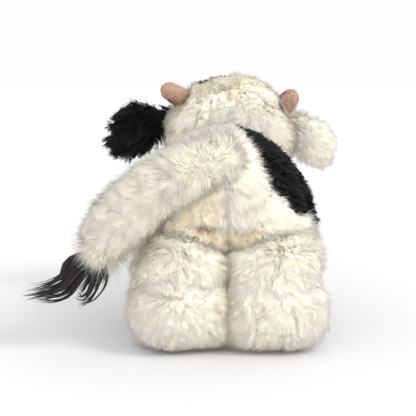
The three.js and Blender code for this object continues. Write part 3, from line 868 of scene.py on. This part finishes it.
# Muzzle
# An oval stuffed bag of short tan velour over the lower face. Its nostrils are satin-stitched
# pads, and the mouth is one row of back stitch in the same brown thread.
velour_tips = [
    (0.72, 0.49, 0.36), (0.66, 0.43, 0.30), (0.60, 0.38, 0.26), (0.76, 0.54, 0.41),
    (0.54, 0.33, 0.22), (0.80, 0.60, 0.48), (0.46, 0.27, 0.18), (0.85, 0.69, 0.57),
]
tan_velour = cloth(
    "tan_velour", "tan_nap", 0.62, velour_tips, 0.9, ((0.46, 0.29, 0.20), (0.56, 0.38, 0.27)), Roughness=0.7
)
nap = styled(
    long_pile, per_area=1.5e6, length=0.0021, lean=52, end_lean=34, width=0.00042, wide_lock=0.011,
    wide_turn=0.6, wide_lift=0.15, fine_lock=0.0022, drawn=0.22, own_turn=0.5, droop=0.0,
    wave=0.0002, twist=0.6, guard=0.0, tones=(5, 5, 5, 4, 4, 2, 2, 1), softness=0.6,
)
muzzle_bag = stuffed(["muzzle"], 0.0008, 0.0025, 6)
cover(muzzle_bag, "muzzle", tan_velour)
grow("muzzle_nap", muzzle_bag, "muzzle", tan_velour, 57, head_comb, nap)


def thread_paint(colour, light, spacing):
    """Paint for satin stitch: rows of thread side by side, each with a painted highlight and painted shade
    across it.
    """

    def paint(tone):
        place = tone.node("TexCoord", output="Object")
        bands = {"Vector": place, "Scale": math.tau / 20 / spacing}
        run = tone.node("TexWave", {"bands_direction": "X"}, bands)
        shade = tone.node("TexNoise", None, {"Vector": place, "Scale": 900.0, "Detail": 2.0})
        bump = tone.node("Bump", None, {"Height": run, "Strength": 0.9, "Distance": 0.0003})
        mixed = (run * 0.6 + shade * 0.4).colour((*colour, 1), (*light, 1))
        return {"Base Color": mixed, "Normal": bump}

    return paint


thread_spacing = 0.0006
thread_radius = 0.0007
# The brown thread's painted shade and its painted highlight
thread_shade_and_highlight = ((0.055, 0.032, 0.024), (0.13, 0.08, 0.06))
stitching = finish_named("brown_stitching", thread_paint(*thread_shade_and_highlight, thread_spacing), Roughness=0.45)
satin_stitch = SimpleNamespace(slot="brown_stitching", backing=stitching)
for name in ("left_nostril", "right_nostril"):
    pad_bag = stuffed([name], -0.0002, 0.0008, 5)
    cover(pad_bag, name, satin_stitch)


def threads(runs, radius, sides=7):
    """Points and faces of short round threads, each through a run of points, with closed ends."""
    points, faces = [], []
    for run in runs:
        run = np.asarray(run, float)
        forward = unit(np.gradient(run, axis=0))
        across = unit(np.cross(forward, rows(0.3, 0.2, 1)))
        over = np.cross(forward, across)
        start = len(points)
        fat = radius * np.sqrt(np.clip(1 - np.linspace(-0.97, 0.97, len(run)) ** 4, 0.05, 1))
        for i, middle in enumerate(run):
            for k in range(sides):
                turn = math.tau * k / sides
                points.append(middle + fat[i] * (across[i] * math.cos(turn) + over[i] * math.sin(turn)))
        for i in range(len(run) - 1):
            for k in range(sides):
                a, b = start + i * sides + k, start + i * sides + (k + 1) % sides
                faces.append((a, b, b + sides, a + sides))
        faces.append([start + k for k in range(sides)][::-1])
        faces.append([start + (len(run) - 1) * sides + k for k in range(sides)])
    return points, faces


mouth_middle = (-0.0345, 0.1645)
mouth_half = 0.027
mouth_bow = 9.0  # the smile's rise per square metre off its middle
lip_x = -0.035
lip_ends = (0.1655, 0.1800)
before_face = -0.3  # where the rays that find the velour start
stitch_shares = (0.04, 0.2, 0.5, 0.8, 0.96)
stitch_rises = (-0.0004, 0.0004, 0.0008, 0.0004, -0.0004)
mouth_line = [
    (mouth_middle[0] + dx, mouth_middle[1] + mouth_bow * dx * dx)
    for dx in np.linspace(-mouth_half, mouth_half, 15)
]
lip_line = [(lip_x, z) for z in np.linspace(*lip_ends, 5)]
muzzle_tree = tree_over(["muzzle"])
mouth_runs = []
for line in (mouth_line, lip_line):
    for (x0, z0), (x1, z1) in zip(line, line[1:]):
        run = []
        for share, rise in zip(stitch_shares, stitch_rises):
            spot = Vector((x0 + (x1 - x0) * share, before_face, z0 + (z1 - z0) * share))
            hit, normal = muzzle_tree.ray_cast(spot, Vector((0, 1, 0)))[:2]
            run.append(np.array(hit + normal * rise))
        mouth_runs.append(run)
show("mouth_stitches", *threads(mouth_runs, thread_radius), "head", "brown_stitching", stitching)

# Eyes
# A domed eye of dark brown plastic with a black centre, moulded on a stem that goes through the
# plush. A press-on washer of milky plastic holds it from inside.


def eye_paint(tone):
    place = tone.node("UVMap", {"uv_map": "OFBake"})
    out = place.node("SeparateXYZ", None, {0: place}, "Y")
    fleck = tone.node("TexNoise", None, {"Vector": place, "Scale": 30.0, "Detail": 3.0})
    ring = tone.node("ValToRGB", {"stops": [
        (0.0, (0.012, 0.010, 0.010, 1)), (0.30, (0.012, 0.010, 0.010, 1)), (0.34, (0.085, 0.036, 0.018, 1)),
        (0.52, (0.050, 0.022, 0.012, 1)), (0.6, (0.012, 0.009, 0.008, 1)),
    ]}, {0: out + fleck * 0.02})
    return {"Base Color": ring}


def washer_paint(tone):
    place = tone.node("TexCoord", output="Object")
    cloud = tone.node("TexNoise", None, {"Vector": place, "Scale": 300.0, "Detail": 4.0})
    bump = tone.node("Bump", None, {"Height": cloud, "Strength": 0.3, "Distance": 0.0002})
    return {"Base Color": cloud.colour((0.70, 0.70, 0.68, 1), (0.82, 0.82, 0.80, 1)), "Normal": bump}


eye_plastic = finish_named("eye_plastic", eye_paint, Roughness=0.1, Specular_IOR_Level=0.3)
washer_plastic = finish_named("washer_plastic", washer_paint, Roughness=0.4)
rim_offset = 0.010  # from the washer's middle to the dome's rim
# From the dome's middle out to its rim, and back to the stem's end: radius and height in mm
dome_line = [(8.5 * math.sin(t), 6 * math.cos(t)) for t in np.linspace(0.0, math.pi / 2, 15)]
dome_line += [(8.62, -0.35), (8.62, -1.2), (8.3, -1.6), (2.6, -1.6), (2.6, -15.6), (2.2, -16.0), (0, -16.0)]
dome_sides = 40
for side in ("left", "right"):
    washer = frame["nodes"][side + "_eye_washer"]
    washer.material_slots[0].material = washer_plastic
    washer_middle = np.mean([v.co for v in washer.data.vertices], axis=0)
    dome_middle = np.mean([v.co for v in frame["nodes"][side + "_eye"].data.vertices], axis=0)
    outward = unit((dome_middle - washer_middle)[None])[0]
    rim_middle = washer_middle + outward * rim_offset
    first = unit(np.cross(outward, rows(0, 0, 1))[None])[0]
    second = np.cross(outward, first)
    points, faces = [], []
    for radius, height in dome_line:
        for k in range(dome_sides):
            turn = math.tau * k / dome_sides
            spoke = first * math.cos(turn) + second * math.sin(turn)
            points.append(rim_middle + (outward * height + spoke * max(radius, 0.01)) * 0.001)
    for i in range(len(dome_line) - 1):
        for k in range(dome_sides):
            a, b = i * dome_sides + k, i * dome_sides + (k + 1) % dome_sides
            faces.append((a, a + dome_sides, b + dome_sides, b))
    dome = show(side + "_eye_dome", points, faces, "head", "eye_plastic", eye_plastic)
    along_line = np.linspace(0, 1, len(dome_line))
    dome_map = dome.data.uv_layers.new(name="OFBake")
    for face in dome.data.polygons:
        k = face.index % dome_sides
        for loop, corner in zip(face.loop_indices, (k, k, k + 1, k + 1)):
            ring_index = dome.data.loops[loop].vertex_index // dome_sides
            dome_map.data[loop].uv = (corner / dome_sides, along_line[ring_index])
    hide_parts(side + "_eye")

# Horns
# Two short blunt thumbs of the tan velour, stuffed and sewn into the crown's seam.
horn_nap = styled(nap, per_area=5.5e6, length=0.0022, tones=(5, 5, 5, 4, 4, 3, 3, 2), wide_turn=1.0)


def horn_comb(points, normals):
    return ways(points[:, 0] - head_middle.x, 0.0, 0.05)


for name, seed in (("left_horn", 58), ("right_horn", 59)):
    horn_bag = stuffed([name], 0.001, 0.0014, 8)
    cover(horn_bag, name, tan_velour)
    grow(name + "_nap", horn_bag, name, tan_velour, seed, horn_comb, horn_nap)

# Ears
# A flat stuffed leaf on a round root, with a lining of pinkish velour in front. The left ear is
# of the black plush and the right one of the cream.

# Along x: where the right ear's pile turns to the head, is fuller and stands up
ear_turns = (-0.128, -0.108)
ear_fuller = (-0.138, -0.118)
ear_stands = (-0.14, -0.12)
lining_clear = 0.0063  # no pile is rooted nearer to the lining


def ear_comb(side):
    """Out and a little down, but back to the head at the right ear's root."""

    def comb(points, normals):
        return ways(side * (1 - 1.7 * within(*ear_turns, points[:, 0]) * (side < 0)), 0.0, -0.45)

    return comb


shaggy_pile = styled(
    curly_pile, length=0.0165, wide_turn=0.45, wide_lift=0.35, end_lean=26, fine_lock=0.0030, drawn=0.85
)
ear_pile = styled(
    long_pile, length=0.0135, wide_turn=0.35, trim=lambda p: 1 + 0.8 * within(*ear_fuller, p[:, 0]),
    rise=lambda p, n: 0.4 * within(*ear_stands, p[:, 0]),
)
for side, name, plush, style in (
    (1, "left_ear", black_plush, shaggy_pile), (-1, "right_ear", cream_plush, ear_pile)
):
    bag = stuffed([name], 0.005, 0.003, 6)
    cover(bag, name, plush)
    grow(
        name + "_pile", bag, name, plush, 60 + side, ear_comb(side), style,
        lambda p: far_from([name + "_lining"], p) > lining_clear,
    )

pink_tips = [
    (0.78, 0.56, 0.50), (0.74, 0.51, 0.45), (0.80, 0.60, 0.54), (0.70, 0.47, 0.41),
    (0.82, 0.63, 0.57), (0.66, 0.43, 0.37), (0.76, 0.54, 0.47), (0.84, 0.67, 0.61),
]
pink_velour = cloth(
    "pink_velour", "pink_nap", 0.7, pink_tips, 0.9, ((0.56, 0.36, 0.31), (0.66, 0.45, 0.39)), Roughness=0.7
)
lining_nap = styled(nap, per_area=4e6)
for side, name in ((1, "left_ear_lining"), (-1, "right_ear_lining")):
    lining_bag = stuffed([name], 0.0003, 0.0009, 3)
    cover(lining_bag, name, pink_velour)
    grow(name + "_nap", lining_bag, name, pink_velour, 64 + side, ear_comb(side), lining_nap)

# Tail
# A thick stuffed tube of cream plush, sewn high on the rump. Its pile lies toward the tip.
tail_end = joint_places["tassel_swing"]
root_spread = 0.03
tuft_radius = 0.021
# Where shares start and are full: off the root, to its right, and over and under the middle line
root_edge = (0.034, 0.02)
root_side = (0.002, -0.012)
upper_side = (0.0, 0.02)
lower_side = (-0.004, -0.02)


def tail_comb(points, normals):
    """Along the tail, up over its upper side, and out in all directions round its root."""
    from_root = points - np.array(tail_seat)
    from_root[:, 1] = 0
    near = np.exp(-((sizes(from_root) / root_spread) ** 2))[:, None]
    along = np.array((tail_end - tail_seat).normalized())
    over = normals @ rows(0.6, 0, 0.8)
    upward = rows(0.25, 0, 0.95) * np.clip(over + 0.15, -0.35, 0.8)[:, None]
    return along + upward * 1.1 + unit(from_root) * near * 1.6


def tail_trim(points):
    """The pile is fuller where the tail leaves the rump, and along its upper and lower sides."""
    along = np.clip((points[:, 0] - tail_seat.x) / (tail_end.x - tail_seat.x), 0, 1)
    upper = points[:, 2] - (tail_seat.z + (tail_end.z - tail_seat.z) * along)
    right_end = within(*root_edge, from_tail(points)) * within(*root_side, points[:, 0] - tail_seat.x)
    return 1 + 0.3 * right_end + 0.25 * within(*upper_side, upper) + 0.35 * within(*lower_side, upper)


tail_pile = styled(
    long_pile, length=0.0185, lean=58, end_lean=32, rise=tail_rise, parting=tail_parting, trim=tail_trim
)
tail_bag = stuffed(["tail"], cover_depth)
cover(tail_bag, "tail", cream_plush)
grow("tail_pile", tail_bag, "tail", cream_plush, 70, tail_comb, tail_pile)

tuft_pile = styled(
    tail_pile, per_area=1.1e6, length=0.027, lean=34, end_lean=4, own_turn=0.4,
    wide_turn=0.35, droop=0.12, softness=0.35,
)


def tuft_comb(points, normals):
    return rows(0.62, 0.05, -0.75) + 9.0 * (points - np.array(tail_end))


grow(
    "tail_end_pile", tail_bag, "tail", cream_plush, 71, tuft_comb, tuft_pile,
    lambda p: sizes(p - np.array(tail_end)) < tuft_radius,
)

# Tassel
# A tied bunch of smooth black nylon fibre, sewn into the end of the tail. It parts in two, and
# its locks are steamed into curls that point to the toy's left.
nylon_tips = [
    (0.016, 0.010, 0.011), (0.013, 0.008, 0.009), (0.021, 0.014, 0.015), (0.010, 0.007, 0.008),
    (0.028, 0.019, 0.020), (0.011, 0.008, 0.008), (0.038, 0.027, 0.028), (0.085, 0.065, 0.063),
]
nylon_roots = [tuple(0.8 * c for c in colour) for colour in nylon_tips]
nylon = finish_named("tassel_nylon", fibre_paint(nylon_roots, nylon_tips, 0.5), Roughness=0.32)
tassel_y = 0.159  # how far back the bunch hangs
# Each lock: its fibres, its width in mm, and the pixels that its middle line passes in the photo
tassel_locks = [
    (240, 3.4, [
        (100, 252), (84, 254), (70, 260), (63.5, 268), (64.5, 275.5), (53, 283), (41, 288.5), (28, 291.5)
    ]),
    (260, 4.4, [
        (100, 253), (86, 258), (74, 264), (67, 272), (65.5, 280.5), (56, 285.5), (46.5, 288.5), (33, 290)
    ]),
    (300, 4.6, [
        (100, 254), (88, 261), (78, 268), (71, 276), (68, 283), (59, 289), (44, 293.5), (20.5, 298)
    ]),
    (260, 3.8, [
        (100, 255), (89, 264), (81, 272), (75, 281), (69, 290), (60, 296.5), (45, 298.5), (30, 297.5)
    ]),
    (200, 2.6, [
        (101, 256), (90, 266), (83, 276), (77, 285), (70.5, 295), (60, 300.5), (47, 301), (33.5, 297)
    ]),
    (300, 4.0, [(101, 256), (95, 265), (91, 275), (87, 284), (83.5, 289), (79.5, 296)]),
    (240, 3.6, [
        (101, 256), (97, 266), (95, 277), (92, 286), (89.5, 293), (85, 299), (80, 300), (72.5, 294.5)
    ]),
    (220, 3.0, [
        (102, 256), (100, 266), (99.5, 277), (97, 286), (94, 294), (88.5, 300.5), (82.5, 303.5), (76.5, 305.5)
    ]),
    (50, 1.6, [(103, 256), (103, 266), (104.5, 274), (104, 280), (100, 289)]),
    (90, 1.4, [
        (104, 256), (104, 264), (107.5, 271), (106.5, 284.5), (100, 294.5), (92.5, 301.5), (77, 305.5)
    ]),
]
fibre_steps = 12
guide_steps = 49
strands_each = 7  # that the end of a lock parts into


def eased_line(points, count):
    """A line through its points' neighbourhoods without corners, at even steps."""
    line = np.asarray(points, float)
    for _ in range(3):
        cut = np.concatenate([0.75 * line[:-1] + 0.25 * line[1:], 0.25 * line[:-1] + 0.75 * line[1:]], 1)
        line = np.concatenate([line[:1], cut.reshape(-1, line.shape[1]), line[-1:]])
    far = np.concatenate([[0], np.cumsum(sizes(np.diff(line, axis=0)))])
    even = np.linspace(0, far[-1], count)
    return np.stack([np.interp(even, far, line[:, k]) for k in range(line.shape[1])], 1)


random = np.random.default_rng(80)
paths = []
for count, thick, middle_line in tassel_locks:
    bow = random.normal(0, 1.5)
    guide = [np.array(seen_at(pixel, tassel_y)) * 1000 for pixel in middle_line]
    for i, spot in enumerate(guide):
        spot[1] += bow * i / len(guide)
    line = eased_line(guide, guide_steps)
    forward = unit(np.gradient(line, axis=0))
    level = unit(np.cross(forward, rows(0, 1, 0)))
    even = np.linspace(0, 1, guide_steps)
    swell = np.interp(even, [0, 0.3, 0.6, 0.85, 1], [0.55, 1.2, 0.7, 0.22, 0.03]) * thick
    reach = np.sqrt(random.random(count))
    turn = random.random(count) * math.tau
    stop = 1 - 0.45 * random.random(count) ** 1.5
    strand = (turn / math.tau * strands_each).astype(int)
    drift = random.normal(0, 0.9, (strands_each, 2))[strand] + random.normal(0, 0.12, (count, 2))
    for k in range(count):
        at = np.linspace(0, stop[k] * (guide_steps - 1), fibre_steps)
        low = np.minimum(at.astype(int), guide_steps - 2)
        part = (at - low)[:, None]
        middle = line[low] * (1 - part) + line[low + 1] * part
        wide = np.interp(at, np.arange(guide_steps), swell) * reach[k]
        out = level[low] * (math.cos(turn[k]) * wide)[:, None]
        out = out + rows(0, 1, 0) * (math.sin(turn[k]) * wide * 1.7)[:, None]
        apart = level[low] * drift[k, 0] + rows(0, 1, 0) * drift[k, 1]
        out = out + apart * (at / (guide_steps - 1))[:, None] ** 2 * thick
        paths.append((middle + out) * 0.001)
paths = np.array(paths)
ahead = unit(np.diff(paths, axis=1).reshape(-1, 3)).reshape(len(paths), -1, 3)
facing = unit(random.normal(0, 0.5, (len(paths), 3)) + rows(0, -1, 0.2))
across = unit(np.cross(ahead, facing[:, None]).reshape(-1, 3)).reshape(ahead.shape)
widths = random.uniform(0.00028, 0.0006, len(paths))
tones = np.minimum(random.geometric(0.3, len(paths)) - 1, tone_columns - 1)
tassel = fibres("tassel_fibres", paths, across, widths, tones, "tassel", nylon)
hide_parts("tassel")
